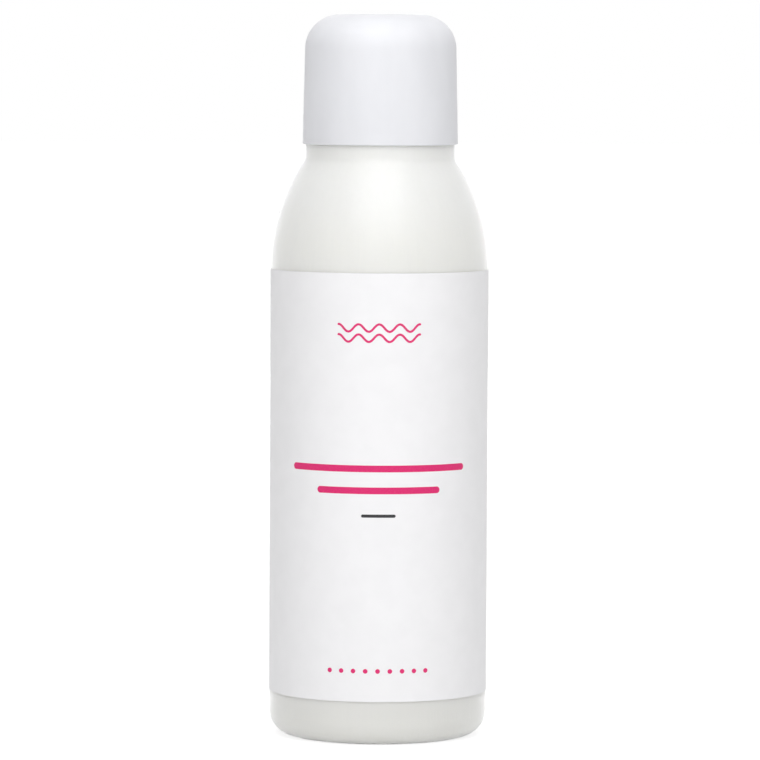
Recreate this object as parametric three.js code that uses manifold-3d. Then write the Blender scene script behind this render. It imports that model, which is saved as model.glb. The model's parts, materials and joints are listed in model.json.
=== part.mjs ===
// A 100 ml nail polish remover bottle: a blow-moulded round bottle with a bullet shoulder, a wrap label,
// its liquid, a press-in orifice reducer, a foil seal, and a two-piece screw cap with a foam liner.
// Units are millimetres, +Z is up, the front faces -Y, and the origin is the centre of the standing ring.
import * as THREE from "three";
import { mergeVertices } from "three/addons/utils/BufferGeometryUtils.js";
import Module from "manifold-3d";

const wasm = await Module();
wasm.setup();

// Driving dimensions: the bottle's body
const BODY_RADIUS = 19.55;
const WALL = 0.9;
const FLOOR = 1.2;
const HEEL_RADIUS = 4.2;
const STAND_INNER_RADIUS = 12.4;
const PUSH_UP = 2.2;
const SHOULDER_Z = 84.6;
const SHOULDER_RADIUS = 34;
const COLLAR_RADIUS = 13.35;
const COLLAR_TOP_Z = 107.2;
const COLLAR_EDGE = 0.2;

// Driving dimensions: the 24 mm neck, without its thread
const NECK_RADIUS = 10.55;
const NECK_BORE_RADIUS = 9;
const NECK_HEIGHT = 16.3;
const NECK_ROOT_FILLET = 0.3;
const LIP_CHAMFER = 0.4;
const THROAT_RADIUS = 12.3;
const THROAT_ROOF_DEPTH = 1;

// Driving dimensions: the contents and the label
const FILL_VOLUME = 100000;
const LIQUID_GAP = 0.2;
const LABEL_BOTTOM_Z = 8.1;
const LABEL_TOP_Z = 84.4;
const LABEL_THICKNESS = 0.1;
const LABEL_GAP = 0.05;
const LABEL_SEAM = 2.4;
const LABEL_CORNER_RADIUS = 2;

// Driving dimensions: the reducer and the discs on it, each seated with a hair of play
const SEAT = 0.05;
const FLANGE_RADIUS = 10.2;
const FLANGE_THICKNESS = 1;
const PLUG_RADIUS = 8.75;
const PLUG_WALL = 1.15;
const PLUG_DEPTH = 10.3;
const PLUG_LEAD = 0.8;
const BEAD_RADIUS = 8.94;
const BEAD_HALF_HEIGHT = 0.4;
const BEAD_DEPTHS = [6.4, 3.9];
const MOAT_RADIUS = 7.4;
const MOAT_DEPTH = 2.85;
const MOAT_FLOOR = 1.1;
const MOAT_FILLET = 0.5;
const NOZZLE_RADIUS = 4.3;
const ORIFICE_RADIUS = 3.175;
const EDGE_BREAK = 0.25;
const FOIL_RADIUS = 10.4;
const FOIL_THICKNESS = 0.15;
const LINER_RADIUS = 10.8;
const LINER_THICKNESS = 1.5;

// Driving dimensions: the cap, a threaded core snapped into a smooth outer shell
const CAP_OVERLAP = 0.35;
const CAP_HEIGHT = 23.35;
const CAP_RIM_RADIUS = 14;
const CAP_TOP_RADIUS = 13.65;
const CAP_CORNER_RADIUS = 6.2;
const CAP_RIM_ROUND = 0.2;
const MOUTH_RADIUS = 13.5;
const MOUTH_DEPTH = 0.5;
const SHELL_BORE_RADIUS = 13;
const SHELL_ROOF = 1.1;
const STOP_RING_RADIUS = 6;
const STOP_RING_WIDTH = 1;
const SNAP_BEAD_RADIUS = 12.25;
const SNAP_BEAD_HEIGHT = 0.25;
const CORE_RISE = 1.25;
const CORE_RADIUS = 12.5;
const CORE_BORE_RADIUS = 11.9;
const CORE_ROOF = 1.2;
const CORE_CORNER_RADIUS = 3;
const CORE_LEAD = 0.3;
const LINER_SEAT_RADIUS = 11;
const LINER_SEAT_CHAMFER = 0.9;
const SPLINE_COUNT = 24;
const SPLINE_WIDTH = 0.8;
const SPLINE_RADIUS = 12.9;
const SPLINE_ROOT_RADIUS = 12.2;
const SPLINE_HEIGHT = 13;
const SPLINE_RISE = 1.5;

// Facets round the outer and the inner pieces
const OUTER_SIDES = 48;
const INNER_SIDES = 36;

// Heights and centres that follow from the ones above
const LIP_Z = COLLAR_TOP_Z + NECK_HEIGHT;
const FLANGE_BOTTOM_Z = LIP_Z + SEAT;
const FLANGE_TOP_Z = FLANGE_BOTTOM_Z + FLANGE_THICKNESS;
const FOIL_BOTTOM_Z = FLANGE_TOP_Z + SEAT;
const LINER_BOTTOM_Z = FOIL_BOTTOM_Z + FOIL_THICKNESS + SEAT;
const CAP_BOTTOM_Z = COLLAR_TOP_Z - CAP_OVERLAP;
const CAP_TOP_Z = CAP_BOTTOM_Z + CAP_HEIGHT;
const CORE_BOTTOM_Z = CAP_BOTTOM_Z + CORE_RISE;
const CORE_ROOF_Z = LINER_BOTTOM_Z + LINER_THICKNESS + SEAT;
const CORE_TOP_Z = CORE_ROOF_Z + CORE_ROOF;
const HEEL_CENTRE_RADIUS = BODY_RADIUS - HEEL_RADIUS;
const SHOULDER_CENTRE = BODY_RADIUS - SHOULDER_RADIUS;
const QUARTER = Math.PI / 2;

const point = (radius, z) => new THREE.Vector2(radius, z);

// Points of a round stretch of a profile, from one angle to another about its centre, both ends included.
function arc(centreRadius, centreZ, radius, from, to, steps) {
  return Array.from({ length: steps + 1 }, (_, i) => {
    const angle = from + ((to - from) * i) / steps;
    return point(centreRadius + radius * Math.cos(angle), centreZ + radius * Math.sin(angle));
  });
}

// Points of a shallow dome of a given rise, from its crown on the axis out to its rim.
function dome(rimRadius, rimZ, rise, steps) {
  const radius = (rimRadius ** 2 + rise ** 2) / (2 * rise);
  const crown = arc(0, rimZ + rise - radius, radius, QUARTER, Math.acos(rimRadius / radius), steps);
  crown[0].x = 0;
  return crown;
}

// A solid of revolution about Z, from a profile that runs anticlockwise with the axis on its left.
function revolve(profile, sides) {
  return new THREE.LatheGeometry(profile, sides).rotateX(QUARTER);
}

function toSolid(geometry) {
  const bare = geometry.clone();
  bare.deleteAttribute("normal");
  bare.deleteAttribute("uv");
  const merged = mergeVertices(bare, 1e-3);
  return new wasm.Manifold(
    new wasm.Mesh({
      numProp: 3,
      vertProperties: new Float32Array(merged.attributes.position.array),
      triVerts: new Uint32Array(merged.index.array),
    }),
  );
}

function toGeometry(solid) {
  const mesh = solid.getMesh();
  return new THREE.BufferGeometry()
    .setAttribute("position", new THREE.BufferAttribute(mesh.vertProperties, 3))
    .setIndex(new THREE.BufferAttribute(mesh.triVerts, 1));
}

// The bottle's inside from its floor on the axis up to where the shoulder meets the throat.
function cavityProfile(gap) {
  const inset = WALL + gap;
  const heelRadius = HEEL_RADIUS - inset;
  const floorZ = FLOOR + gap;
  const shoulderRadius = SHOULDER_RADIUS - inset;
  const throatAngle = Math.acos((THROAT_RADIUS - SHOULDER_CENTRE) / shoulderRadius);
  return [
    ...dome(STAND_INNER_RADIUS, floorZ, PUSH_UP, 3),
    ...arc(HEEL_CENTRE_RADIUS, floorZ + heelRadius, heelRadius, -QUARTER, 0, 4),
    ...arc(SHOULDER_CENTRE, SHOULDER_Z, shoulderRadius, 0, throatAngle, 8),
  ];
}

// The inside from the throat, in under the collar, and up the bore to the lip.
function throatProfile() {
  const throat = cavityProfile(0).at(-1);
  const roofZ = COLLAR_TOP_Z - THROAT_ROOF_DEPTH;
  const roof = new THREE.QuadraticBezierCurve(
    throat,
    point(THROAT_RADIUS - WALL, roofZ),
    point(NECK_BORE_RADIUS + WALL, roofZ),
  );
  return [
    ...roof.getPoints(3).slice(1),
    point(NECK_BORE_RADIUS, roofZ + WALL),
    point(NECK_BORE_RADIUS, LIP_Z - LIP_CHAMFER),
    point(NECK_BORE_RADIUS + LIP_CHAMFER, LIP_Z),
  ];
}

function bottleShell() {
  const collarAngle = Math.acos((COLLAR_RADIUS - SHOULDER_CENTRE) / SHOULDER_RADIUS);
  const outside = [
    ...dome(STAND_INNER_RADIUS, 0, PUSH_UP, 3),
    ...arc(HEEL_CENTRE_RADIUS, HEEL_RADIUS, HEEL_RADIUS, -QUARTER, 0, 6),
    ...arc(SHOULDER_CENTRE, SHOULDER_Z, SHOULDER_RADIUS, 0, collarAngle, 8),
    point(COLLAR_RADIUS, COLLAR_TOP_Z - COLLAR_EDGE),
    point(COLLAR_RADIUS - COLLAR_EDGE, COLLAR_TOP_Z),
    point(NECK_RADIUS + NECK_ROOT_FILLET, COLLAR_TOP_Z),
    point(NECK_RADIUS, COLLAR_TOP_Z + NECK_ROOT_FILLET),
    point(NECK_RADIUS, LIP_Z - LIP_CHAMFER),
    point(NECK_RADIUS - LIP_CHAMFER, LIP_Z),
  ];
  const inside = [...cavityProfile(0), ...throatProfile()].reverse();
  return revolve([...outside, ...inside], OUTER_SIDES);
}

// Volume below a height inside a profile that climbs from the axis, as a stack of cone slices.
function volumeBelow(profile, level) {
  let volume = 0;
  for (let i = 1; i < profile.length && profile[i - 1].y < level; i++) {
    const low = profile[i - 1];
    const high = profile[i];
    const share = Math.min(1, (level - low.y) / Math.max(high.y - low.y, 1e-9));
    const cut = low.clone().lerp(high, share);
    volume += (Math.PI / 3) * (cut.y - low.y) * (low.x ** 2 + low.x * cut.x + cut.x ** 2);
  }
  return volume;
}

// The height that the filled volume reaches inside the shoulder, by halving.
function fillLevel() {
  const profile = cavityProfile(0);
  let low = SHOULDER_Z;
  let high = profile.at(-1).y;
  while (high - low > 1e-4) {
    const middle = (low + high) / 2;
    if (volumeBelow(profile, middle) < FILL_VOLUME) low = middle;
    else high = middle;
  }
  return low;
}

function removerLiquid() {
  const level = fillLevel();
  const profile = cavityProfile(LIQUID_GAP);
  const above = profile.findIndex((p) => p.y > level);
  const [low, high] = profile.slice(above - 1, above + 1);
  const rim = low.clone().lerp(high, (level - low.y) / (high.y - low.y));
  return revolve([...profile.slice(0, above), rim, point(0, level)], INNER_SIDES);
}

// The gap between the label's two ends at the back, flared at both ends where the label's corners are round.
function seamCutter() {
  const half = LABEL_SEAM / 2;
  const far = half + LABEL_CORNER_RADIUS;
  const margin = 1;
  const outline = new THREE.Shape();
  outline.moveTo(far, LABEL_BOTTOM_Z - margin);
  outline.absarc(far, LABEL_BOTTOM_Z + LABEL_CORNER_RADIUS, LABEL_CORNER_RADIUS, -QUARTER, -Math.PI, true);
  outline.absarc(far, LABEL_TOP_Z - LABEL_CORNER_RADIUS, LABEL_CORNER_RADIUS, Math.PI, QUARTER, true);
  outline.lineTo(far, LABEL_TOP_Z + margin);
  outline.lineTo(-far, LABEL_TOP_Z + margin);
  outline.absarc(-far, LABEL_TOP_Z - LABEL_CORNER_RADIUS, LABEL_CORNER_RADIUS, QUARTER, 0, true);
  outline.absarc(-far, LABEL_BOTTOM_Z + LABEL_CORNER_RADIUS, LABEL_CORNER_RADIUS, 0, -QUARTER, true);
  outline.lineTo(-far, LABEL_BOTTOM_Z - margin);
  const options = { depth: BODY_RADIUS, curveSegments: 5, bevelEnabled: false };
  const cutter = new THREE.ExtrudeGeometry(outline, options);
  return cutter.rotateX(QUARTER).translate(0, BODY_RADIUS + WALL + BODY_RADIUS / 2, 0);
}

// One sheet wrapped round the straight wall, its facets parallel to the bottle's.
function wrapLabel() {
  const inner = BODY_RADIUS + LABEL_GAP;
  const outer = inner + LABEL_THICKNESS;
  const sleeve = revolve(
    [
      point(inner, LABEL_BOTTOM_Z),
      point(outer, LABEL_BOTTOM_Z),
      point(outer, LABEL_TOP_Z),
      point(inner, LABEL_TOP_Z),
      point(inner, LABEL_BOTTOM_Z),
    ],
    OUTER_SIDES,
  );
  return toGeometry(toSolid(sleeve).subtract(toSolid(seamCutter())));
}

// A sealing bead round the reducer's skirt, at a depth below its flange.
function plugBead(depth) {
  const z = FLANGE_BOTTOM_Z - depth;
  return [
    point(PLUG_RADIUS, z - BEAD_HALF_HEIGHT),
    point(BEAD_RADIUS, z),
    point(PLUG_RADIUS, z + BEAD_HALF_HEIGHT),
  ];
}

// The dosing plug: a flange on the lip, a drip moat round a nozzle, and a beaded skirt in the bore.
function orificeReducer() {
  const moatFloorZ = FLANGE_TOP_Z - MOAT_DEPTH;
  const plateZ = moatFloorZ - MOAT_FLOOR;
  const plugBottomZ = FLANGE_BOTTOM_Z - PLUG_DEPTH;
  const skirtRadius = PLUG_RADIUS - PLUG_WALL;
  const underside = [
    point(ORIFICE_RADIUS, plateZ),
    point(skirtRadius, plateZ),
    point(skirtRadius, plugBottomZ),
  ];
  const skirt = [
    point(PLUG_RADIUS - PLUG_LEAD / 2, plugBottomZ),
    point(PLUG_RADIUS, plugBottomZ + PLUG_LEAD),
    ...BEAD_DEPTHS.flatMap(plugBead),
    point(PLUG_RADIUS, FLANGE_BOTTOM_Z),
  ];
  const flange = [
    point(FLANGE_RADIUS, FLANGE_BOTTOM_Z),
    point(FLANGE_RADIUS, FLANGE_TOP_Z - EDGE_BREAK),
    point(FLANGE_RADIUS - EDGE_BREAK, FLANGE_TOP_Z),
    point(MOAT_RADIUS + EDGE_BREAK, FLANGE_TOP_Z),
    point(MOAT_RADIUS, FLANGE_TOP_Z - EDGE_BREAK),
  ];
  const moat = [
    point(MOAT_RADIUS, moatFloorZ + MOAT_FILLET),
    point(MOAT_RADIUS - MOAT_FILLET, moatFloorZ),
    point(NOZZLE_RADIUS + MOAT_FILLET, moatFloorZ),
    point(NOZZLE_RADIUS, moatFloorZ + MOAT_FILLET),
  ];
  const nozzle = [
    point(NOZZLE_RADIUS, FLANGE_TOP_Z - EDGE_BREAK),
    point(NOZZLE_RADIUS - EDGE_BREAK, FLANGE_TOP_Z),
    point(ORIFICE_RADIUS + EDGE_BREAK, FLANGE_TOP_Z),
    point(ORIFICE_RADIUS, FLANGE_TOP_Z - EDGE_BREAK),
    point(ORIFICE_RADIUS, plateZ),
  ];
  return revolve([...underside, ...skirt, ...flange, ...moat, ...nozzle], INNER_SIDES);
}

function disc(radius, bottomZ, thickness) {
  const topZ = bottomZ + thickness;
  const profile = [point(0, bottomZ), point(radius, bottomZ), point(radius, topZ), point(0, topZ)];
  return revolve(profile, INNER_SIDES);
}

// The smooth outer cap: a drafted wall and a large round top edge. Inside, a bead holds the core up
// and a ring holds it down. The mouth is bored wider, so that the rim hangs over the bottle's collar.
function capShell() {
  const roofZ = CAP_TOP_Z - SHELL_ROOF;
  const innerCorner = CAP_CORNER_RADIUS - SHELL_ROOF;
  const ringZ = CORE_TOP_Z + SEAT;
  const beadTopZ = CORE_BOTTOM_Z - SEAT;
  const mouthZ = CAP_BOTTOM_Z + MOUTH_DEPTH;
  const inside = [
    point(0, roofZ),
    point(STOP_RING_RADIUS - STOP_RING_WIDTH / 2, roofZ),
    point(STOP_RING_RADIUS - STOP_RING_WIDTH / 2, ringZ),
    point(STOP_RING_RADIUS + STOP_RING_WIDTH / 2, ringZ),
    point(STOP_RING_RADIUS + STOP_RING_WIDTH / 2, roofZ),
    ...arc(SHELL_BORE_RADIUS - innerCorner, roofZ - innerCorner, innerCorner, QUARTER, 0, 5),
    point(SHELL_BORE_RADIUS, beadTopZ),
    point(SNAP_BEAD_RADIUS, beadTopZ),
    point(SNAP_BEAD_RADIUS, beadTopZ - SNAP_BEAD_HEIGHT),
    point(SHELL_BORE_RADIUS, mouthZ),
    point(MOUTH_RADIUS, mouthZ),
    point(MOUTH_RADIUS, CAP_BOTTOM_Z),
  ];
  const rimCentre = CAP_RIM_RADIUS - CAP_RIM_ROUND;
  const cornerZ = CAP_TOP_Z - CAP_CORNER_RADIUS;
  const outside = [
    ...arc(rimCentre, CAP_BOTTOM_Z + CAP_RIM_ROUND, CAP_RIM_ROUND, -QUARTER, 0, 3),
    ...arc(CAP_TOP_RADIUS - CAP_CORNER_RADIUS, cornerZ, CAP_CORNER_RADIUS, 0, QUARTER, 8),
    point(0, CAP_TOP_Z),
  ];
  return revolve([...inside, ...outside], OUTER_SIDES);
}

// The core's turned form: the bore that its thread stands in, and above it the seat for the liner.
function coreBody() {
  const cornerCentre = CORE_RADIUS - CORE_CORNER_RADIUS;
  const inside = [
    point(0, CORE_ROOF_Z),
    point(LINER_SEAT_RADIUS, CORE_ROOF_Z),
    point(LINER_SEAT_RADIUS, LINER_BOTTOM_Z),
    point(CORE_BORE_RADIUS, LINER_BOTTOM_Z - LINER_SEAT_CHAMFER),
    point(CORE_BORE_RADIUS, CORE_BOTTOM_Z + CORE_LEAD),
    point(CORE_BORE_RADIUS + CORE_LEAD, CORE_BOTTOM_Z),
  ];
  const outside = [
    point(CORE_RADIUS, CORE_BOTTOM_Z),
    ...arc(cornerCentre, CORE_TOP_Z - CORE_CORNER_RADIUS, CORE_CORNER_RADIUS, 0, QUARTER, 5),
    point(0, CORE_TOP_Z),
  ];
  return revolve([...inside, ...outside], OUTER_SIDES);
}

// The core with the upright splines that key it to the shell, so that the two turn as one.
function capCore() {
  const depth = SPLINE_RADIUS - SPLINE_ROOT_RADIUS;
  const middleRadius = (SPLINE_RADIUS + SPLINE_ROOT_RADIUS) / 2;
  const middleZ = CORE_BOTTOM_Z + SPLINE_RISE + SPLINE_HEIGHT / 2;
  const splines = Array.from({ length: SPLINE_COUNT }, (_, i) => {
    const bar = new THREE.BoxGeometry(depth, SPLINE_WIDTH, SPLINE_HEIGHT).translate(middleRadius, 0, middleZ);
    return toSolid(bar.rotateZ(((i + 0.5) * 2 * Math.PI) / SPLINE_COUNT));
  });
  return toGeometry(splines.reduce((core, bar) => core.add(bar), toSolid(coreBody())));
}

const plastic = (color, roughness, opacity = 1) =>
  new THREE.MeshStandardMaterial({ color, roughness, metalness: 0, opacity, transparent: opacity < 1 });

const naturalPolyethylene = plastic(0xe9ebe6, 0.4, 0.75);
const whitePolypropylene = plastic(0xf0f0f2, 0.35);
const softPolyethylene = plastic(0xeceee9, 0.5, 0.9);
const foam = plastic(0xf4f4f2, 0.9);
const solvent = plastic(0xeff1e8, 0.05, 0.35);
const paper = plastic(0xfafafa, 0.55);
const aluminium = new THREE.MeshStandardMaterial({ color: 0xc9cbcd, roughness: 0.3, metalness: 1 });

function piece(name, geometry, material) {
  const mesh = new THREE.Mesh(geometry, material);
  mesh.name = name;
  return mesh;
}

const filledBottle = new THREE.Group().add(
  piece("bottle_shell", bottleShell(), naturalPolyethylene),
  piece("remover_liquid", removerLiquid(), solvent),
  piece("wrap_label", wrapLabel(), paper),
  piece("orifice_reducer", orificeReducer(), softPolyethylene),
);
const closure = new THREE.Group().add(
  piece("seal_foil", disc(FOIL_RADIUS, FOIL_BOTTOM_Z, FOIL_THICKNESS), aluminium),
  piece("cap_liner", disc(LINER_RADIUS, LINER_BOTTOM_Z, LINER_THICKNESS), foam),
  piece("cap_core", capCore(), whitePolypropylene),
  piece("cap_shell", capShell(), whitePolypropylene),
);

export default new THREE.Group().add(filledBottle, closure);
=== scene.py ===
# Nail polish remover bottle, 100 ml: smooth meshes, materials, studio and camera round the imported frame.
import cmath
import json
import math

import bpy
from mathutils import Matrix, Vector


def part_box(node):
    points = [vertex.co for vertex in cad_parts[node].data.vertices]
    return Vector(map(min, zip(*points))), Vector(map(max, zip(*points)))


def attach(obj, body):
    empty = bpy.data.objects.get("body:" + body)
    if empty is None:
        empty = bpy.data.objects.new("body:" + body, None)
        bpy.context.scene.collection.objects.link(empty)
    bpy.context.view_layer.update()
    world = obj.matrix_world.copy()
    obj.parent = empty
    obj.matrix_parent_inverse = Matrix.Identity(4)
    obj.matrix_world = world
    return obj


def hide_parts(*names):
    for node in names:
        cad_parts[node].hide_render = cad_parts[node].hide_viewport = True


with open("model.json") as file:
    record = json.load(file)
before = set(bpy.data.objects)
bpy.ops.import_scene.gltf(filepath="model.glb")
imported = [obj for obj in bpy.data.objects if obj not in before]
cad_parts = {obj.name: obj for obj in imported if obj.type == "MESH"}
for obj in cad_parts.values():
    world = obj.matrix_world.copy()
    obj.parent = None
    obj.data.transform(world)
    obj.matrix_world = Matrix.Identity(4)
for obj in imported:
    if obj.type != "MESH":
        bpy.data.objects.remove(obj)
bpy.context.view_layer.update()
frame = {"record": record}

MM = 0.001
FULL_TURN = 2 * math.pi
RECORD = frame["record"]
BODY_OF = {node: body for body, nodes in RECORD["behaviour"]["bodies"].items() for node in nodes}


def extent(node):
    """A node's largest radius, lowest height and highest height, in millimetres."""
    low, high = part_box(node)
    return high.x / MM, low.z / MM, high.z / MM


# Sizes that the frame gives, in millimetres
BODY_RADIUS, STAND_Z, LIP_Z = extent("bottle_shell")
LABEL_RADIUS, LABEL_BOTTOM_Z, LABEL_TOP_Z = extent("wrap_label")
LIQUID_Z = extent("remover_liquid")[2]
FLANGE_RADIUS, PLUG_BOTTOM_Z, FLANGE_TOP_Z = extent("orifice_reducer")
FOIL_RADIUS, FOIL_BOTTOM_Z, FOIL_TOP_Z = extent("seal_foil")
LINER_RADIUS, LINER_BOTTOM_Z, LINER_TOP_Z = extent("cap_liner")
CORE_BOTTOM_Z, CORE_TOP_Z = extent("cap_core")[1:]
CAP_RIM_RADIUS, CAP_BOTTOM_Z, CAP_TOP_Z = extent("cap_shell")
THREAD_PITCH = RECORD["behaviour"]["couplings"][0]["ratio"] * FULL_TURN / MM

# The bottle's other sizes, in millimetres
WALL = 0.9
FLOOR = 1.2
HEEL_RADIUS = 4.2
STAND_INNER_RADIUS = 12.4
PUSH_UP = 2.2
SHOULDER_Z = 84.6
SHOULDER_RADIUS = 34
COLLAR_RADIUS = 13.35
NECK_HEIGHT = 16.3
COLLAR_TOP_Z = LIP_Z - NECK_HEIGHT
COLLAR_FILLET = 2.2
COLLAR_ROUND = 0.2
NECK_RADIUS = 10.55
NECK_BORE_RADIUS = 9
NECK_ROOT_FILLET = 0.4
LIP_ROUND = 0.4
THROAT_RADIUS = 12.3
THROAT_ROOF_DEPTH = 1
THROAT_ROOF_Z = COLLAR_TOP_Z - THROAT_ROOF_DEPTH
HEEL_CENTRE = BODY_RADIUS - HEEL_RADIUS
SHOULDER_CENTRE = BODY_RADIUS - SHOULDER_RADIUS
PARTING_RIDGE = 0.04
PARTING_HALF_WIDTH = 0.22
PARTING_OFFSETS = (-0.9, -0.6, -0.3, 0.3, 0.6, 0.9)
PINCH_RIDGE = 0.35
PINCH_HALF_WIDTH = 0.7
PINCH_HALF_LENGTH = 9.5

# The threads: the core's runs half a pitch below the neck's
NECK_THREAD_DEPTH = 7.2
NECK_THREAD_Z = LIP_Z - NECK_THREAD_DEPTH
NECK_THREAD_TURNS = 1.5
NECK_THREAD_HEIGHT = 1.15
NECK_THREAD_HALF_ROOT = 1.1
NECK_THREAD_HALF_CREST = 0.35
CORE_THREAD_Z = NECK_THREAD_Z - THREAD_PITCH / 2
CORE_THREAD_TURNS = 1.75
CORE_THREAD_HEIGHT = -1.15
CORE_THREAD_HALF_ROOT = 0.9
CORE_THREAD_HALF_CREST = 0.3
THREAD_RUN_OUT = 0.09
THREAD_ROW = 0.14

# The contents and the label
LIQUID_GAP = 0.2
MENISCUS = 0.6
MENISCUS_REACH = 1.3
LABEL_THICKNESS = 0.1
LABEL_SEAM = 2.4
LABEL_CORNER_RADIUS = 2
LABEL_CURL = 0.06

# The reducer and the discs on it
SEAT = 0.05
FLANGE_THICKNESS = 1
FLANGE_BOTTOM_Z = FLANGE_TOP_Z - FLANGE_THICKNESS
PLUG_RADIUS = 8.75
PLUG_WALL = 1.15
PLUG_LEAD = 0.8
BEAD_RADIUS = 8.94
BEAD_HALF_HEIGHT = 0.4
BEAD_DEPTHS = (6.4, 3.9)
MOAT_RADIUS = 7.4
MOAT_DEPTH = 2.85
MOAT_FLOOR = 1.1
MOAT_FLOOR_Z = FLANGE_TOP_Z - MOAT_DEPTH
PLATE_Z = MOAT_FLOOR_Z - MOAT_FLOOR
MOAT_FILLET = 0.5
NOZZLE_RADIUS = 4.3
ORIFICE_RADIUS = 3.175
EDGE_ROUND = 0.2
PRESS_RADIUS = 8.8
PRESS_HALF_WIDTH = 1.3
FOIL_PRESS = 0.02
LINER_PRESS = 0.12

# The cap's core and its outer shell
CAP_TOP_RADIUS = 13.65
CAP_CORNER_RADIUS = 6.2
CAP_RIM_ROUND = 0.2
MOUTH_RADIUS = 13.5
MOUTH_DEPTH = 0.5
MOUTH_Z = CAP_BOTTOM_Z + MOUTH_DEPTH
SHELL_BORE_RADIUS = 13
SHELL_ROOF = 1.1
SHELL_ROOF_Z = CAP_TOP_Z - SHELL_ROOF
STOP_RING_RADIUS = 6
STOP_RING_HALF_WIDTH = 0.5
SNAP_BEAD_RADIUS = 12.25
SNAP_BEAD_HEIGHT = 0.25
BEAD_ROUND = 0.08
CORE_RADIUS = 12.5
CORE_BORE_RADIUS = 11.9
CORE_ROOF_Z = LINER_TOP_Z + SEAT
CORE_CORNER_RADIUS = 3
CORE_LEAD = 0.3
LINER_SEAT_RADIUS = 11
LINER_SEAT_CHAMFER = 0.9
GATE_RADIUS = 1.2
GATE_DEPTH = 0.25
SPLINE_COUNT = 24
SPLINE_HALF_WIDTH = 0.4
SPLINE_HEIGHT = 0.4
SPLINE_FLANK = 0.15
SPLINE_RISE = 1.5
SPLINE_LENGTH = 13
SPLINE_BOTTOM_Z = CORE_BOTTOM_Z + SPLINE_RISE
SPLINE_TOP_Z = SPLINE_BOTTOM_Z + SPLINE_LENGTH

# Columns of faces round the turned pieces, and the angle in degrees past which an edge is sharp
OUTER_COLUMNS = 192
INNER_COLUMNS = 144
COLUMNS_PER_SPLINE = 12
SPLINE_COLUMNS = SPLINE_COUNT * COLUMNS_PER_SPLINE
SHARP_EDGE = 38

# Distance in millimetres below which two points are one, or a point is on the axis
SAME_POINT = 1e-6


# Profiles, as lists of (radius, z) points in millimetres

def arc(centre_radius, centre_z, radius, start, end, steps):
    """Points of a round stretch, from one angle to another in degrees, both ends included."""
    angles = [math.radians(start + (end - start) * i / steps) for i in range(steps + 1)]
    return [(centre_radius + radius * math.cos(a), centre_z + radius * math.sin(a)) for a in angles]


def dome(rim_radius, rim_z, rise, steps):
    """Points of a shallow dome, from its crown on the axis out to its rim."""
    radius = (rim_radius ** 2 + rise ** 2) / (2 * rise)
    rim_angle = math.degrees(math.acos(rim_radius / radius))
    points = arc(0, rim_z + rise - radius, radius, 90, rim_angle, steps)
    points[0] = (0, rim_z + rise)
    return points


def rounded(corners, steps=4):
    """A line through corners of (radius, z, fillet), where a corner with a fillet becomes an arc."""
    points = []
    for i, (radius, z, fillet) in enumerate(corners):
        if fillet == 0:
            points.append((radius, z))
            continue
        here = complex(radius, z)
        before = complex(*corners[i - 1][:2]) - here
        after = complex(*corners[(i + 1) % len(corners)][:2]) - here
        before /= abs(before)
        after /= abs(after)
        half = abs(cmath.phase(after / before)) / 2
        reach = fillet / math.tan(half)
        centre = here + (before + after) / abs(before + after) * fillet / math.sin(half)
        first = here + before * reach - centre
        sweep = cmath.phase((here + after * reach - centre) / first)
        bend = [centre + first * cmath.exp(1j * sweep * k / steps) for k in range(steps + 1)]
        points += [(p.real, p.imag) for p in bend]
    return points


def ladder(radius, start_z, end_z, step):
    """Points straight up or down at one radius, about a step apart."""
    count = max(1, round(abs(end_z - start_z) / step))
    return [(radius, start_z + (end_z - start_z) * i / count) for i in range(count + 1)]


def bezier(first, middle, last, steps):
    """Points of a quadratic curve from the first to the last of three."""
    points = []
    for i in range(steps + 1):
        t = i / steps
        weights = ((1 - t) ** 2, 2 * t * (1 - t), t ** 2)
        blend = zip(first, middle, last)
        points.append(tuple(sum(w * part for w, part in zip(weights, parts)) for parts in blend))
    return points


# Reliefs, which move a point (radius, z) of a profile in the direction of an angle

def plain(radius, z, angle):
    return radius, z


def ridge(distance, half_width):
    """1 in the middle of a ridge, falling smoothly to 0 at its half width."""
    share = min(abs(distance) / half_width, 1)
    return (1 - share ** 2) ** 2


def parting_line(radius, z, angle):
    """The fine raised line that the two halves of the mould leave on both sides of the bottle."""
    return radius + PARTING_RIDGE * ridge(radius * math.sin(angle), PARTING_HALF_WIDTH), z


def pinch_off(radius, z, angle):
    """The ridge across the base where the mould pinched the tube of plastic shut."""
    across = ridge(radius * math.sin(angle), PINCH_HALF_WIDTH)
    along = ridge(radius * math.cos(angle), PINCH_HALF_LENGTH)
    return radius, z - PINCH_RIDGE * across * along


def thread(start_z, turns, height, half_root, half_crest):
    """A right-hand thread, which climbs by the pitch each turn and runs out at both ends."""
    def relief(radius, z, angle):
        rise = 0
        for whole in range(math.ceil(turns)):
            turn = whole + angle / FULL_TURN
            away = abs(z - start_z - THREAD_PITCH * turn)
            band = (half_root - away) / (half_root - half_crest)
            run_out = min(turn, turns - turn) / THREAD_RUN_OUT
            rise = max(rise, min(band, run_out, 1))
        return radius + height * rise, z
    return relief


def splines(radius, z, angle):
    """Upright splines round the core, one in the middle of each share of the turn."""
    share = FULL_TURN / SPLINE_COUNT
    away = radius * abs(angle % share - share / 2)
    side = (SPLINE_HALF_WIDTH + SPLINE_FLANK - away) / SPLINE_FLANK
    end = min(z - SPLINE_BOTTOM_Z, SPLINE_TOP_Z - z) / SPLINE_FLANK
    return radius + SPLINE_HEIGHT * max(0, min(side, end, 1)), z


def foil_press(radius, z, angle):
    """The shallow ring that the reducer's flange has pressed into the foil."""
    return radius, z - FOIL_PRESS * ridge(radius - PRESS_RADIUS, PRESS_HALF_WIDTH)


# Meshes

def rows(points, relief=plain):
    return [(radius, z, relief) for radius, z in points]


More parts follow.
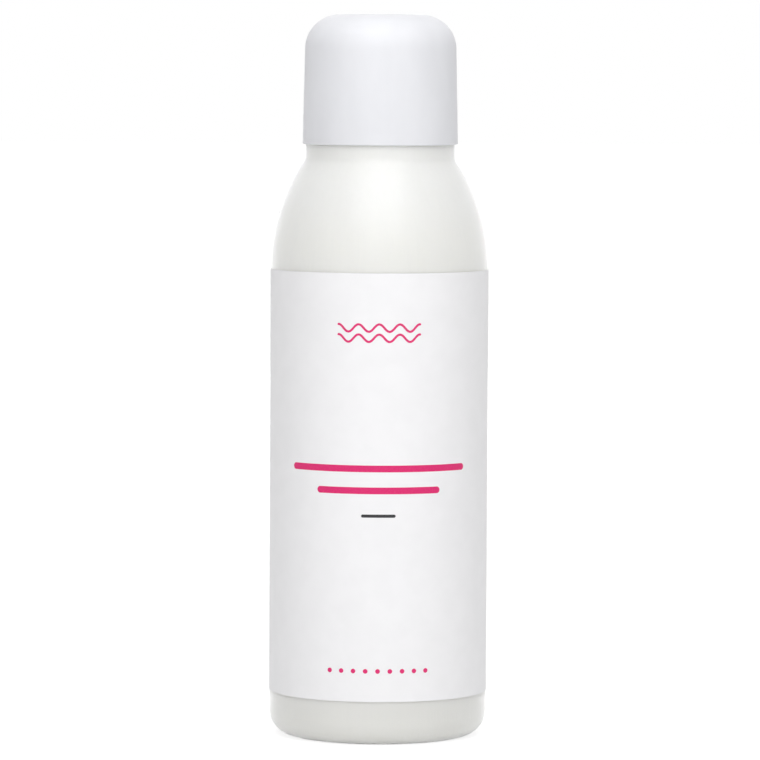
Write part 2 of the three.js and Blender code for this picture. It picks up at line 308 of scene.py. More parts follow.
def even_angles(count):
    return [FULL_TURN * i / count for i in range(count)]


def mould_angles(count):
    """Even angles, with more of them a few tenths of a degree beside the mould's parting plane."""
    beside = [math.radians(side + offset) for side in (0, 180) for offset in PARTING_OFFSETS]
    return sorted(even_angles(count) + [angle % FULL_TURN for angle in beside])


def to_object(name, vertices, faces):
    """A smooth-shaded object from points in millimetres."""
    mesh = bpy.data.meshes.new(name)
    mesh.from_pydata([(x * MM, y * MM, z * MM) for x, y, z in vertices], [], faces)
    mesh.validate()
    mesh.shade_smooth()
    mesh.set_sharp_from_angle(angle=math.radians(SHARP_EDGE))
    obj = bpy.data.objects.new(name, mesh)
    bpy.context.scene.collection.objects.link(obj)
    return obj


def band(first, second):
    """Faces between two neighbouring rings of vertices, either of which may be one point on the axis."""
    if len(first) == 1 and len(second) == 1:
        return []
    count = max(len(first), len(second))
    faces = []
    for i in range(count):
        j = (i + 1) % count
        if len(first) == 1:
            faces.append((first[0], second[j], second[i]))
        elif len(second) == 1:
            faces.append((first[i], first[j], second[0]))
        else:
            faces.append((first[i], first[j], second[j], second[i]))
    return faces


def turned(name, profile, angles, closed=False):
    """An object turned about Z from rows of (radius, z, relief), open at the axis or closed on itself."""
    vertices = []
    rings = []
    last = None
    for radius, z, relief in profile:
        if last and math.dist(last, (radius, z)) < SAME_POINT:
            continue
        last = (radius, z)
        start = len(vertices)
        if radius < SAME_POINT:
            vertices.append((0, 0, relief(radius, z, 0)[1]))
        else:
            for angle in angles:
                out, up = relief(radius, z, angle)
                vertices.append((out * math.cos(angle), out * math.sin(angle), up))
        rings.append(list(range(start, len(vertices))))
    pairs = list(zip(rings, rings[1:]))
    if closed:
        pairs.append((rings[-1], rings[0]))
    faces = [face for first, second in pairs for face in band(first, second)]
    return to_object(name, vertices, faces)


# The bottle

def cavity(gap, top_z):
    """The bottle's inside, drawn in by a gap, from its floor's middle to a height in the shoulder."""
    heel = HEEL_RADIUS - WALL - gap
    shoulder = SHOULDER_RADIUS - WALL - gap
    climb = math.degrees(math.asin((top_z - SHOULDER_Z) / shoulder))
    return [
        *dome(STAND_INNER_RADIUS, FLOOR + gap, PUSH_UP, 10),
        *arc(HEEL_CENTRE, FLOOR + gap + heel, heel, -90, 0, 8),
        *arc(SHOULDER_CENTRE, SHOULDER_Z, shoulder, 0, climb, 20),
    ]


def shoulder_height(shoulder, radius):
    """The height at which a circle about the shoulder's centre reaches a radius from the axis."""
    return SHOULDER_Z + math.sqrt(shoulder ** 2 - (radius - SHOULDER_CENTRE) ** 2)


def bottle():
    """The moulded bottle: base, heel, shoulder, collar and threaded neck, then its inside back down."""
    blend_radius = COLLAR_RADIUS + COLLAR_FILLET
    blend_z = shoulder_height(SHOULDER_RADIUS + COLLAR_FILLET, blend_radius)
    blend = math.degrees(math.atan2(blend_z - SHOULDER_Z, blend_radius - SHOULDER_CENTRE))
    thread_low_z = NECK_THREAD_Z - THREAD_PITCH / 2
    thread_high_z = LIP_Z - 2 * LIP_ROUND
    collar = rounded([
        (COLLAR_RADIUS, blend_z, 0),
        (COLLAR_RADIUS, COLLAR_TOP_Z, COLLAR_ROUND),
        (NECK_RADIUS, COLLAR_TOP_Z, NECK_ROOT_FILLET),
        (NECK_RADIUS, thread_low_z, 0),
    ])
    lip = rounded([
        (NECK_RADIUS, thread_high_z, 0),
        (NECK_RADIUS, LIP_Z, LIP_ROUND),
        (NECK_BORE_RADIUS, LIP_Z, LIP_ROUND),
        (NECK_BORE_RADIUS, THROAT_ROOF_Z + WALL, 0),
    ])
    throat_z = shoulder_height(SHOULDER_RADIUS - WALL, THROAT_RADIUS)
    roof_inner = (NECK_BORE_RADIUS + WALL, THROAT_ROOF_Z)
    roof_outer = (THROAT_RADIUS - WALL, THROAT_ROOF_Z)
    throat = bezier(roof_inner, roof_outer, (THROAT_RADIUS, throat_z), 6)
    neck_thread = thread(
        NECK_THREAD_Z, NECK_THREAD_TURNS, NECK_THREAD_HEIGHT, NECK_THREAD_HALF_ROOT, NECK_THREAD_HALF_CREST
    )
    return turned("moulded_bottle", [
        *rows(dome(STAND_INNER_RADIUS, STAND_Z, PUSH_UP, 16), pinch_off),
        *rows(arc(HEEL_CENTRE, STAND_Z + HEEL_RADIUS, HEEL_RADIUS, -90, 0, 14), parting_line),
        *rows(arc(SHOULDER_CENTRE, SHOULDER_Z, SHOULDER_RADIUS, 0, blend, 30), parting_line),
        *rows(arc(blend_radius, blend_z, COLLAR_FILLET, 180 + blend, 180, 5), parting_line),
        *rows(collar, parting_line),
        *rows(ladder(NECK_RADIUS, thread_low_z, thread_high_z, THREAD_ROW), neck_thread),
        *rows(lip),
        *rows(throat),
        *rows(reversed(cavity(0, throat_z))),
    ], mould_angles(OUTER_COLUMNS))


def remover():
    """The liquid, whose surface climbs a little where it meets the wall."""
    wall = cavity(LIQUID_GAP, LIQUID_Z + MENISCUS)
    rim = wall[-1][0]
    steps = 24
    surface = []
    for i in range(1, steps + 1):
        radius = rim * (1 - (i / steps) ** 2)
        surface.append((radius, LIQUID_Z + MENISCUS * math.exp((radius - rim) / MENISCUS_REACH)))
    surface[-1] = (0, LIQUID_Z)
    return turned("remover_fill", rows(wall + surface), even_angles(INNER_COLUMNS))


# The label

def label_stations(half):
    """Places along the label from end to end, each with how far its round corners draw it in there."""
    radius = LABEL_CORNER_RADIUS
    bend = [math.radians(90 * i / 8) for i in range(9)]
    ends = [(radius * (1 - math.cos(t)) - half, radius * (1 - math.sin(t))) for t in bend]
    reach = half - radius
    middle = [(-reach + 2 * reach * i / OUTER_COLUMNS, 0) for i in range(1, OUTER_COLUMNS)]
    return ends + middle + [(-along, inset) for along, inset in reversed(ends)]


def label():
    """One sheet wrapped round the bottle, its ends a seam apart at the back and hardly lifted."""
    half = FULL_TURN / 2 * LABEL_RADIUS - LABEL_SEAM / 2
    levels = 16
    vertices = []
    for thickness in (LABEL_THICKNESS, 0):
        for along, inset in label_stations(half):
            lift = LABEL_CURL * max(0, 1 - (half - abs(along)) / LABEL_CORNER_RADIUS) ** 2
            radius = LABEL_RADIUS - LABEL_THICKNESS + thickness + lift
            angle = along / LABEL_RADIUS - FULL_TURN / 4
            for level in range(levels + 1):
                share = level / levels
                z = (LABEL_BOTTOM_Z + inset) * (1 - share) + (LABEL_TOP_Z - inset) * share
                vertices.append((radius * math.cos(angle), radius * math.sin(angle), z))
    tall = levels + 1
    side = len(vertices) // 2
    wide = side // tall
    faces = []
    for i in range(wide - 1):
        for k in range(levels):
            low = i * tall + k
            quad = (low, low + tall, low + tall + 1, low + 1)
            faces.append(quad)
            faces.append(tuple(side + corner for corner in reversed(quad)))
    border = [i * tall for i in range(wide)]
    border += [(wide - 1) * tall + k for k in range(1, tall)]
    border += [i * tall + levels for i in range(wide - 2, -1, -1)]
    border += list(range(levels - 1, 0, -1))
    for here, there in zip(border, border[1:] + border[:1]):
        faces.append((there, here, side + here, side + there))
    return to_object("printed_label", vertices, faces)


# The reducer, the foil and the liner

def reducer():
    """The soft plug in the neck: a beaded skirt, a flange, a moat and a nozzle round the pouring hole."""
    skirt_radius = PLUG_RADIUS - PLUG_WALL
    middle_z = (PLATE_Z + FLANGE_TOP_Z) / 2
    beads = []
    for depth in BEAD_DEPTHS:
        bead_z = FLANGE_BOTTOM_Z - depth
        beads += [
            (PLUG_RADIUS, bead_z - BEAD_HALF_HEIGHT, EDGE_ROUND),
            (BEAD_RADIUS, bead_z, EDGE_ROUND),
            (PLUG_RADIUS, bead_z + BEAD_HALF_HEIGHT, EDGE_ROUND),
        ]
    profile = rounded([
        (ORIFICE_RADIUS, middle_z, 0),
        (ORIFICE_RADIUS, PLATE_Z, EDGE_ROUND),
        (skirt_radius, PLATE_Z, MOAT_FILLET),
        (skirt_radius, PLUG_BOTTOM_Z, EDGE_ROUND),
        (PLUG_RADIUS - PLUG_LEAD / 2, PLUG_BOTTOM_Z, EDGE_ROUND),
        (PLUG_RADIUS, PLUG_BOTTOM_Z + PLUG_LEAD, EDGE_ROUND),
        *beads,
        (PLUG_RADIUS, FLANGE_BOTTOM_Z, EDGE_ROUND),
        (FLANGE_RADIUS, FLANGE_BOTTOM_Z, EDGE_ROUND),
        (FLANGE_RADIUS, FLANGE_TOP_Z, EDGE_ROUND),
        (MOAT_RADIUS, FLANGE_TOP_Z, EDGE_ROUND),
        (MOAT_RADIUS, MOAT_FLOOR_Z, MOAT_FILLET),
        (NOZZLE_RADIUS, MOAT_FLOOR_Z, MOAT_FILLET),
        (NOZZLE_RADIUS, FLANGE_TOP_Z, EDGE_ROUND),
        (ORIFICE_RADIUS, FLANGE_TOP_Z, EDGE_ROUND),
    ])
    return turned("pour_reducer", rows(profile), even_angles(INNER_COLUMNS), closed=True)


def foil():
    """The sealing disc, which follows the ring pressed into it on both faces."""
    steps = 32
    outward = [FOIL_RADIUS * i / steps for i in range(steps + 1)]
    under = [(radius, FOIL_BOTTOM_Z) for radius in outward]
    over = [(radius, FOIL_TOP_Z) for radius in reversed(outward)]
    return turned("foil_disc", rows(under + over, foil_press), even_angles(INNER_COLUMNS))


def liner():
    """The foam disc, with the ring that the closed cap has pressed into its underside."""
    low = PRESS_RADIUS - PRESS_HALF_WIDTH
    high = PRESS_RADIUS + PRESS_HALF_WIDTH
    pressed_z = LINER_BOTTOM_Z + LINER_PRESS
    profile = rounded([
        (0, LINER_BOTTOM_Z, 0),
        (low, LINER_BOTTOM_Z, EDGE_ROUND),
        (low + EDGE_ROUND, pressed_z, EDGE_ROUND),
        (high - EDGE_ROUND, pressed_z, EDGE_ROUND),
        (high, LINER_BOTTOM_Z, EDGE_ROUND),
        (LINER_RADIUS, LINER_BOTTOM_Z, EDGE_ROUND),
        (LINER_RADIUS, LINER_TOP_Z, EDGE_ROUND),
        (0, LINER_TOP_Z, 0),
    ])
    return turned("foam_liner", rows(profile), even_angles(INNER_COLUMNS))


# The cap

def core():
    """The inner cap: a seat for the liner, the thread in its bore and splines on its outside."""
    core_thread = thread(
        CORE_THREAD_Z, CORE_THREAD_TURNS, CORE_THREAD_HEIGHT, CORE_THREAD_HALF_ROOT, CORE_THREAD_HALF_CREST
    )
    bore_high_z = LINER_BOTTOM_Z - LINER_SEAT_CHAMFER
    bore_low_z = CORE_BOTTOM_Z + CORE_LEAD
    gate_z = CORE_ROOF_Z + GATE_DEPTH
    seat = rounded([
        (0, gate_z, 0),
        (GATE_RADIUS, gate_z, EDGE_ROUND / 2),
        (GATE_RADIUS, CORE_ROOF_Z, EDGE_ROUND / 2),
        (LINER_SEAT_RADIUS, CORE_ROOF_Z, EDGE_ROUND),
        (LINER_SEAT_RADIUS, LINER_BOTTOM_Z, EDGE_ROUND),
        (CORE_BORE_RADIUS, bore_high_z, 0),
    ])
    flank = SPLINE_FLANK
    spline_rows = [SPLINE_BOTTOM_Z, SPLINE_BOTTOM_Z + flank, SPLINE_TOP_Z - flank, SPLINE_TOP_Z]
    corner = CORE_CORNER_RADIUS
    top = arc(CORE_RADIUS - corner, CORE_TOP_Z - corner, corner, 0, 90, 8)
    return turned("threaded_core", [
        *rows(seat),
        *rows(ladder(CORE_BORE_RADIUS, bore_high_z, bore_low_z, THREAD_ROW), core_thread),
        *rows([(CORE_BORE_RADIUS + CORE_LEAD, CORE_BOTTOM_Z), (CORE_RADIUS, CORE_BOTTOM_Z)]),
        *rows([(CORE_RADIUS, z) for z in spline_rows], splines),
        *rows(top),
        *rows([(0, CORE_TOP_Z)]),
    ], even_angles(SPLINE_COLUMNS))


def cap():
    """The smooth outer cap: a drafted wall, a large round top edge, a snap bead and a stop ring."""
    inner_corner = CAP_CORNER_RADIUS - (CAP_TOP_Z - SHELL_ROOF_Z)
    ring_z = CORE_TOP_Z + SEAT
    bead_z = CORE_BOTTOM_Z - SEAT
    ring_inner = STOP_RING_RADIUS - STOP_RING_HALF_WIDTH
    ring_outer = STOP_RING_RADIUS + STOP_RING_HALF_WIDTH
    roof_radius = SHELL_BORE_RADIUS - inner_corner
    roof = rounded([
        (0, SHELL_ROOF_Z, 0),
        (ring_inner, SHELL_ROOF_Z, EDGE_ROUND),
        (ring_inner, ring_z, EDGE_ROUND),
        (ring_outer, ring_z, EDGE_ROUND),
        (ring_outer, SHELL_ROOF_Z, EDGE_ROUND),
        (roof_radius, SHELL_ROOF_Z, 0),
    ])
    corner_z = CAP_TOP_Z - CAP_CORNER_RADIUS
    skirt = rounded([
        (SHELL_BORE_RADIUS, bead_z, 0),
        (SNAP_BEAD_RADIUS, bead_z, BEAD_ROUND),
        (SNAP_BEAD_RADIUS, bead_z - SNAP_BEAD_HEIGHT, BEAD_ROUND),
        (SHELL_BORE_RADIUS, MOUTH_Z, 0),
        (MOUTH_RADIUS, MOUTH_Z, 0),
        (MOUTH_RADIUS, CAP_BOTTOM_Z, BEAD_ROUND),
        (CAP_RIM_RADIUS, CAP_BOTTOM_Z, CAP_RIM_ROUND),
        (CAP_TOP_RADIUS, corner_z, 0),
    ])
    return turned("outer_cap", [
        *rows(roof),
        *rows(arc(roof_radius, SHELL_ROOF_Z - inner_corner, inner_corner, 90, 0, 10)),
        *rows(skirt),
        *rows(arc(CAP_TOP_RADIUS - CAP_CORNER_RADIUS, corner_z, CAP_CORNER_RADIUS, 0, 90, 24)),
        *rows([(0, CAP_TOP_Z)]),
    ], even_angles(OUTER_COLUMNS))


# Materials

class Paint:
    """One material's nodes, with short calls for the ones that it uses."""

    def __init__(self, name):
        self.material = bpy.data.materials.new(name)
        self.material.use_nodes = True
        self.tree = self.material.node_tree
        self.shader = self.tree.nodes["Principled BSDF"]
        self.place = self.node("ShaderNodeTexCoord").outputs["Object"]

    def node(self, kind):
        return self.tree.nodes.new(kind)

    def put(self, socket, value):
        """Sets a socket to a plain value, or links it to another node's output."""
        if isinstance(value, bpy.types.NodeSocket):
            self.tree.links.new(value, socket)
        else:
            socket.default_value = value

    def shade(self, values):
        """Sets the shader's sockets by name."""
        for name, value in values.items():
            self.put(self.shader.inputs[name], value)

    def math(self, operation, *values):
        node = self.node("ShaderNodeMath")
        node.operation = operation
        for socket, value in zip(node.inputs, values):
            self.put(socket, value)
        return node.outputs[0]

    def most(self, *values):
        """The largest of several values."""
        result = values[0]
        for value in values[1:]:
            result = self.math("MAXIMUM", result, value)
        return result

    def axes(self):
        """The three coordinates of the place, in metres."""
        node = self.node("ShaderNodeSeparateXYZ")
        self.put(node.inputs[0], self.place)
        return node.outputs

    def stretched(self, size, stretch):
        """The place in units of a size in millimetres, drawn out along the axes by a stretch."""
        node = self.node("ShaderNodeMapping")
        self.put(node.inputs["Vector"], self.place)
        node.inputs["Scale"].default_value = [1 / (size * MM * share) for share in stretch]
        return node.outputs["Vector"]

    def noise(self, size, detail=2, stretch=(1, 1, 1)):
        """Soft noise about 0.5, with features of about a size in millimetres."""
        node = self.node("ShaderNodeTexNoise")
        self.put(node.inputs["Vector"], self.stretched(size, stretch))
        node.inputs["Scale"].default_value = 1
        node.inputs["Detail"].default_value = detail
        return node.outputs["Fac"]

    def cells(self, size):
        """Distance from the middle of the nearest cell, with cells of about a size in millimetres."""
        node = self.node("ShaderNodeTexVoronoi")
        self.put(node.inputs["Vector"], self.stretched(size, (1, 1, 1)))
        node.inputs["Scale"].default_value = 1
        return node.outputs["Distance"]

    def ease(self, value, start, end, low=0.0, high=1.0):
        """A smooth passage from low to high as a value goes from start to end."""
        node = self.node("ShaderNodeMapRange")
        node.interpolation_type = "SMOOTHSTEP"
        for socket, setting in zip(node.inputs, (value, start, end, low, high)):
            self.put(socket, setting)
        return node.outputs["Result"]

    def mix(self, share, first, second):
        """One colour passing into another."""
        node = self.node("ShaderNodeMix")
        node.data_type = "RGBA"
        self.put(node.inputs["Factor"], share)
        colours = [socket for socket in node.inputs if socket.type == "RGBA"]
        for socket, colour in zip(colours, (first, second)):
            self.put(socket, colour)
        return [socket for socket in node.outputs if socket.type == "RGBA"][0]

    def bump(self, height, depth, under=None):
        """A surface roughened by a height whose full swing is a depth in millimetres."""
        node = self.node("ShaderNodeBump")
        node.inputs["Strength"].default_value = 1
        node.inputs["Distance"].default_value = depth * MM
        self.put(node.inputs["Height"], height)
        if under:
            self.put(node.inputs["Normal"], under)
        return node.outputs["Normal"]


# Polyethylene's tones: at the heel, darker as painted shade where less light reaches the base; beside the
# liquid and the air above it; in the reducer; and its marks
HEEL_PAINTED_SHADE_TONE = (0.83, 0.827, 0.79, 1)
FILLED_TONE = (0.98, 0.98, 0.885, 1)
EMPTY_TONE = (0.975, 0.985, 0.91, 1)
REDUCER_TONE = (0.92, 0.93, 0.915, 1)
STREAK_TONE = (0.72, 0.74, 0.71, 1)
SCUFF_TONE = (0.9, 0.9, 0.88, 1)

# How far above and below its level the liquid's tint fades, in millimetres
LEVEL_BLUR = 5


def natural_polyethylene(name, low_painted_shade_tone, filled_tone, empty_tone):
    """Milky polyethylene: faint clouds, upright draw lines, scuffs on the standing edge.

    What is behind the wall shows through, so its tone changes at the liquid's level. The tone is also
    darker towards the heel, which is painted shade where less light reaches the base.
    """
    paint = Paint(name)
    height = paint.axes()[2]
    # painted shade: the tone passes from the darker heel tone below the label to the lighter tone at the
    # label's top
    rise = paint.ease(height, LABEL_BOTTOM_Z * MM, LABEL_TOP_Z * MM)
    empty = paint.ease(height, (LIQUID_Z - LEVEL_BLUR) * MM, (LIQUID_Z + LEVEL_BLUR) * MM)
    tone = paint.mix(empty, paint.mix(rise, low_painted_shade_tone, filled_tone), empty_tone)
    clouds = paint.ease(paint.noise(11), 0.3, 0.7, 0, 0.06)
    streaks = paint.ease(paint.noise(0.9, 3, (1, 1, 30)), 0.3, 0.7)
    drawn = paint.mix(paint.math("MULTIPLY_ADD", streaks, 0.05, clouds), tone, STREAK_TONE)
    low = paint.ease(height, 0.1 * MM, 2.2 * MM, 1, 0)
    scuffs = paint.math("MULTIPLY", low, paint.ease(paint.noise(0.6, 4, (3, 3, 1)), 0.52, 0.64))
    worn = paint.math("MULTIPLY", scuffs, 0.5)
    skin = paint.bump(paint.noise(0.55), 0.012)
    satin = paint.ease(paint.noise(2.4), 0.3, 0.7, 0.31, 0.38)
    paint.shade({
        "Base Color": paint.mix(worn, drawn, SCUFF_TONE),
        "Roughness": paint.math("MULTIPLY_ADD", worn, 0.4, satin),
        "IOR": 1.53,
        "Specular IOR Level": 0.5,
        "Subsurface Weight": 0.85,
        "Subsurface Radius": (1, 1, 0.97),
        "Subsurface Scale": 1.5 * MM,
        "Transmission Weight": 0.1,
        "Sheen Weight": 1,
        "Sheen Roughness": 0.35,
        "Normal": paint.bump(streaks, 0.012, skin),
    })
    return paint.material


# The cap's two tones, which its flow marks pass between
CAP_SHADE = (0.757, 0.762, 0.792, 1)
CAP_WHITE = (0.787, 0.792, 0.822, 1)


def white_polypropylene():
    """Satin white polypropylene: a fine even grain and faint flow marks."""
    paint = Paint("white_polypropylene")
    flow = paint.ease(paint.noise(7, 3, (1, 1, 3)), 0.3, 0.7)
    grain = paint.noise(0.22, 3)
    paint.shade({
        "Base Color": paint.mix(flow, CAP_SHADE, CAP_WHITE),
        "Roughness": paint.ease(paint.noise(1.6, 3), 0.3, 0.7, 0.44, 0.52),
        "IOR": 1.49,
        "Specular IOR Level": 0.4,
        "Subsurface Weight": 0.12,
        "Subsurface Radius": (1, 1, 1),
        "Subsurface Scale": 0.5 * MM,
        "Normal": paint.bump(grain, 0.006),
    })
    return paint.material


# The label's print, in millimetres: each rule has its middle height, half length and half thickness
LONG_RULE = (49.7, 16.6, 0.6)
SHORT_RULE = (45.8, 10.9, 0.6)
DARK_RULE = (41.3, 2.8, 0.28)
WAVE_HEIGHTS = (74.7, 72.9)
WAVE_HALF_LENGTH = 7.4
WAVE_SWING = 0.65
WAVE_COUNT = 4
WAVE_HALF_LINE = 0.2
DOTS_Z = 13.6
DOT_SPACING = 2.2
DOTS_EACH_SIDE = 4
DOT_RADIUS = 0.42
PINK = (0.69, 0.01, 0.145, 1)
DARK = (0.02, 0.02, 0.022, 1)

# The label's two tones, which its faint clouds pass between
FILM_SHADE = (0.85, 0.846, 0.858, 1)
FILM_WHITE = (0.866, 0.862, 0.874, 1)


def label_film():
    """Semi-matt white film with a generic print: two wavy lines, plain rules and a row of dots."""
    paint = Paint("label_film")
    x, y, z = paint.axes()
    turn = paint.math("ARCTAN2", x, paint.math("MULTIPLY", y, -1))
    along = paint.math("ABSOLUTE", paint.math("MULTIPLY", turn, LABEL_RADIUS))
    height = paint.math("DIVIDE", z, MM)

    def within(across, up, radius):
        """1 where a place is nearer than a radius to where both its offsets are 0."""
        squares = paint.math("MULTIPLY_ADD", across, across, paint.math("MULTIPLY", up, up))
        return paint.math("LESS_THAN", squares, radius ** 2)

    def rule(middle_z, half_length, half_thickness):
        """A straight line with round ends."""
        past = paint.math("MAXIMUM", paint.math("SUBTRACT", along, half_length), 0)
        return within(past, paint.math("SUBTRACT", height, middle_z), half_thickness)

    def wave(middle_z):
        """An even line along a cosine: its upright reach grows with its slope."""
        rate = WAVE_COUNT * math.pi / WAVE_HALF_LENGTH
        phase = paint.math("MULTIPLY", along, rate)
        crest = paint.math("MULTIPLY_ADD", paint.math("COSINE", phase), WAVE_SWING, middle_z)
        slope = paint.math("MULTIPLY", paint.math("SINE", phase), WAVE_SWING * rate)
        steep = paint.math("SQRT", paint.math("MULTIPLY_ADD", slope, slope, 1))
        past = paint.math("MAXIMUM", paint.math("SUBTRACT", along, WAVE_HALF_LENGTH), 0)
        across = paint.math("DIVIDE", paint.math("SUBTRACT", height, crest), steep)
        return within(past, across, WAVE_HALF_LINE)

    def dots():
        """Dots at even places to both sides of the middle."""
        nearest = paint.math("SNAP", paint.math("ADD", along, DOT_SPACING / 2), DOT_SPACING)
        place = paint.math("MINIMUM", nearest, DOT_SPACING * DOTS_EACH_SIDE)
        up = paint.math("SUBTRACT", height, DOTS_Z)
        return within(paint.math("SUBTRACT", along, place), up, DOT_RADIUS)

    pink = paint.most(rule(*LONG_RULE), rule(*SHORT_RULE), *map(wave, WAVE_HEIGHTS), dots())
    clouds = paint.ease(paint.noise(3.5, 3), 0.3, 0.7)
    film = paint.mix(clouds, FILM_SHADE, FILM_WHITE)
    density = paint.ease(paint.noise(0.12), 0.25, 0.6, 0.96, 1)
    inked = paint.mix(paint.math("MULTIPLY", pink, density), film, PINK)
    waves = paint.bump(paint.noise(9, 1), 0.03)
    paint.shade({
        "Base Color": paint.mix(paint.math("MULTIPLY", rule(*DARK_RULE), density), inked, DARK),
        "Roughness": paint.ease(paint.noise(1.1, 3), 0.3, 0.7, 0.42, 0.5),
        "IOR": 1.48,
        "Specular IOR Level": 0.45,
        "Normal": paint.bump(paint.noise(0.18, 3), 0.004, waves),
    })
    return paint.material


def remover_liquid():
    """Clear liquid with a faint yellow-green tint that deepens a little towards the base."""
    paint = Paint("remover")
    depth = paint.ease(paint.axes()[2], 0, LIQUID_Z * MM)
    drift = paint.math("MULTIPLY", depth, paint.ease(paint.noise(14), 0.2, 0.8, 0.85, 1))
    paint.shade({
        "Base Color": paint.mix(drift, (0.93, 0.95, 0.87, 1), (0.96, 0.97, 0.91, 1)),
        "Roughness": paint.ease(paint.noise(6), 0.3, 0.7, 0.02, 0.04),
        "IOR": 1.36,
        "Transmission Weight": 1,
    })
    return paint.material


def rolled_foil():
    """Bright aluminium foil with the lines of its rolling."""
    paint = Paint("foil")
    lines = paint.noise(0.12, 3, (40, 1, 1))
    paint.shade({
        "Base Color": paint.mix(lines, (0.72, 0.73, 0.745, 1), (0.86, 0.865, 0.875, 1)),
        "Metallic": 1,
        "Roughness": paint.ease(lines, 0.3, 0.7, 0.22, 0.36),
        "Normal": paint.bump(lines, 0.01, paint.bump(paint.noise(1.8, 3), 0.05)),
    })
    return paint.material


def foam():
    """Matt white foam with fine closed cells."""
    paint = Paint("liner_foam")
    cells = paint.cells(0.28)
    paint.shade({
        "Base Color": paint.mix(paint.ease(cells, 0.2, 0.8), (0.9, 0.9, 0.885, 1), (0.8, 0.8, 0.78, 1)),
        "Roughness": paint.ease(paint.noise(0.8, 3), 0.3, 0.7, 0.78, 0.9),
        "Specular IOR Level": 0.3,
        "Normal": paint.bump(cells, 0.04),
    })
    return paint.material


# The studio, in metres: each lamp's level is the light that it adds on a surface facing it

AMBIENT = 0.21
KEY_LIGHT = 0.6
FRONT_LIGHT = 0.175
TOP_LIGHT = 0.42
REAR_LIGHT = 0.16
BACK_LIGHT = 0.3
FLOOR_GLOW_NEAR = 0.8
FLOOR_GLOW_FAR = 0.97
FLOOR_GLOW_REACH = (0.12, 0.6)
FLOOR_WHITE = (0.9, 0.9, 0.9, 1)
FLOOR_SHADED = (0.35, 0.35, 0.35, 1)
FLOOR_HALF_WIDTH = 6
AIM = (0, 0, 0.07)


def seen_directly(tree):
    """1 for the rays that show the background: straight, mirrored or through the bottle."""
    path = tree.nodes.new("ShaderNodeLightPath")
    result = path.outputs["Is Camera Ray"]
    for name in ("Is Glossy Ray", "Is Transmission Ray"):
        node = tree.nodes.new("ShaderNodeMath")
        node.operation = "MAXIMUM"
        tree.links.new(result, node.inputs[0])
        tree.links.new(path.outputs[name], node.inputs[1])
        result = node.outputs[0]
    return result


def white_world():
    """Even light from all sides, which shows as plain white."""
    world = bpy.data.worlds.new("studio")
    bpy.context.scene.world = world
    world.use_nodes = True
    tree = world.node_tree
    background = tree.nodes["Background"]
    background.inputs["Color"].default_value = (1, 1, 1, 1)
    strength = tree.nodes.new("ShaderNodeMath")
    strength.operation = "MULTIPLY_ADD"
    tree.links.new(seen_directly(tree), strength.inputs[0])
    strength.inputs[1].default_value = 1 - AMBIENT
    strength.inputs[2].default_value = AMBIENT
    tree.links.new(strength.outputs[0], background.inputs["Strength"])


def white_floor():
    """A pale floor that glows for the camera, more so away from the object, and keeps its shadow."""
    half = FLOOR_HALF_WIDTH
    mesh = bpy.data.meshes.new("floor")
    corners = [(-half, -half, 0), (half, -half, 0), (half, half, 0), (-half, half, 0)]
    mesh.from_pydata(corners, [], [(0, 1, 2, 3)])
    floor = bpy.data.objects.new("floor", mesh)
    bpy.context.scene.collection.objects.link(floor)
    paint = Paint("floor")
    seen = seen_directly(paint.tree)
    length = paint.node("ShaderNodeVectorMath")
    length.operation = "LENGTH"
    paint.put(length.inputs[0], paint.place)
    glow = paint.ease(length.outputs["Value"], *FLOOR_GLOW_REACH, FLOOR_GLOW_NEAR, FLOOR_GLOW_FAR)
    paint.shade({
        "Base Color": paint.mix(seen, FLOOR_WHITE, FLOOR_SHADED),
        "Roughness": 0.8,
        "Specular IOR Level": 0.0,
        "Emission Color": (1, 1, 1, 1),
        "Emission Strength": paint.math("MULTIPLY", seen, glow),
    })
    mesh.materials.append(paint.material)


def soft_light(name, level, azimuth, elevation, distance, size, mirrored=False):
    """A square lamp aimed at the bottle, from an azimuth that is 0 at the front and an elevation."""
    azimuth = math.radians(azimuth)
    elevation = math.radians(elevation)
    data = bpy.data.lights.new(name, "AREA")
    data.size = size
    data.energy = level * math.pi ** 2 * distance ** 2
    lamp = bpy.data.objects.new(name, data)
    bpy.context.scene.collection.objects.link(lamp)
    flat = math.cos(elevation)
    away = (math.sin(azimuth) * flat, -math.cos(azimuth) * flat, math.sin(elevation))
    place = Matrix.Translation([at + distance * part for at, part in zip(AIM, away)])
    turn = Matrix.Rotation(azimuth, 4, "Z") @ Matrix.Rotation(math.radians(90) - elevation, 4, "X")
    lamp.matrix_world = place @ turn
    lamp.visible_camera = False
    lamp.visible_glossy = mirrored


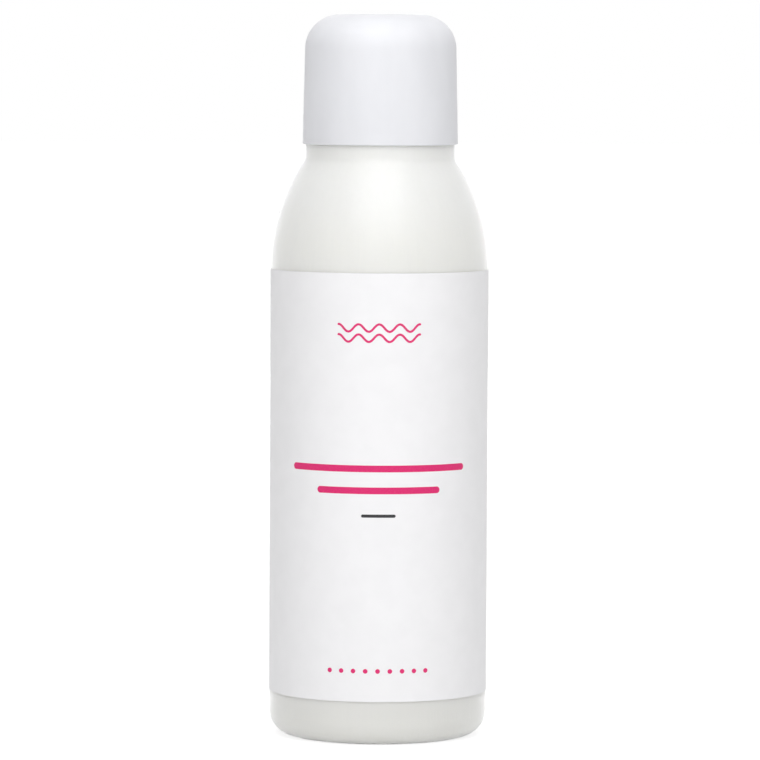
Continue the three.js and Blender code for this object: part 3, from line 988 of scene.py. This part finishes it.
# The camera, from the photograph: a long lens at the height of the cap, tilted down
IMAGE_PIXELS = 760
FOCAL_PIXELS = 5000
CAMERA_PLACE = (0.00017, -0.903, 0.1231)
CAMERA_TILT = 3.73
CAMERA_ROLL = 0.3


def photo_camera():
    """The camera that sees the bottle as the photograph does."""
    data = bpy.data.cameras.new("camera")
    data.sensor_width = 36
    data.lens = FOCAL_PIXELS * data.sensor_width / IMAGE_PIXELS
    camera = bpy.data.objects.new("camera", data)
    bpy.context.scene.collection.objects.link(camera)
    tilt = Matrix.Rotation(math.radians(90 - CAMERA_TILT), 4, "X")
    roll = Matrix.Rotation(math.radians(CAMERA_ROLL), 4, "Z")
    camera.matrix_world = Matrix.Translation(CAMERA_PLACE) @ tilt @ roll
    bpy.context.scene.camera = camera


# The assembly

def place_piece(piece, node, material):
    """Gives a piece its material and puts it in its node's place on the node's body."""
    piece.data.materials.append(material)
    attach(piece, BODY_OF[node])
    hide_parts(node)


polypropylene = white_polypropylene()
milky = natural_polyethylene("natural_polyethylene", HEEL_PAINTED_SHADE_TONE, FILLED_TONE, EMPTY_TONE)
place_piece(bottle(), "bottle_shell", milky)
place_piece(remover(), "remover_liquid", remover_liquid())
place_piece(label(), "wrap_label", label_film())
soft = natural_polyethylene("soft_polyethylene", REDUCER_TONE, REDUCER_TONE, REDUCER_TONE)
place_piece(reducer(), "orifice_reducer", soft)
place_piece(foil(), "seal_foil", rolled_foil())
place_piece(liner(), "cap_liner", foam())
place_piece(core(), "cap_core", polypropylene)
place_piece(cap(), "cap_shell", polypropylene)

white_world()
white_floor()
soft_light("key_light", KEY_LIGHT, azimuth=3, elevation=46, distance=0.62, size=0.55, mirrored=True)
soft_light("front_light", FRONT_LIGHT, azimuth=0, elevation=5, distance=1.1, size=0.3)
soft_light("top_light", TOP_LIGHT, azimuth=0, elevation=85, distance=0.9, size=0.8)
soft_light("back_light", BACK_LIGHT, azimuth=180, elevation=15, distance=1.0, size=0.6)
soft_light("rear_light_left", REAR_LIGHT, azimuth=-135, elevation=6, distance=1.1, size=0.6)
soft_light("rear_light_right", REAR_LIGHT, azimuth=135, elevation=6, distance=1.1, size=0.6)
photo_camera()
bpy.context.scene.view_settings.view_transform = "Standard"
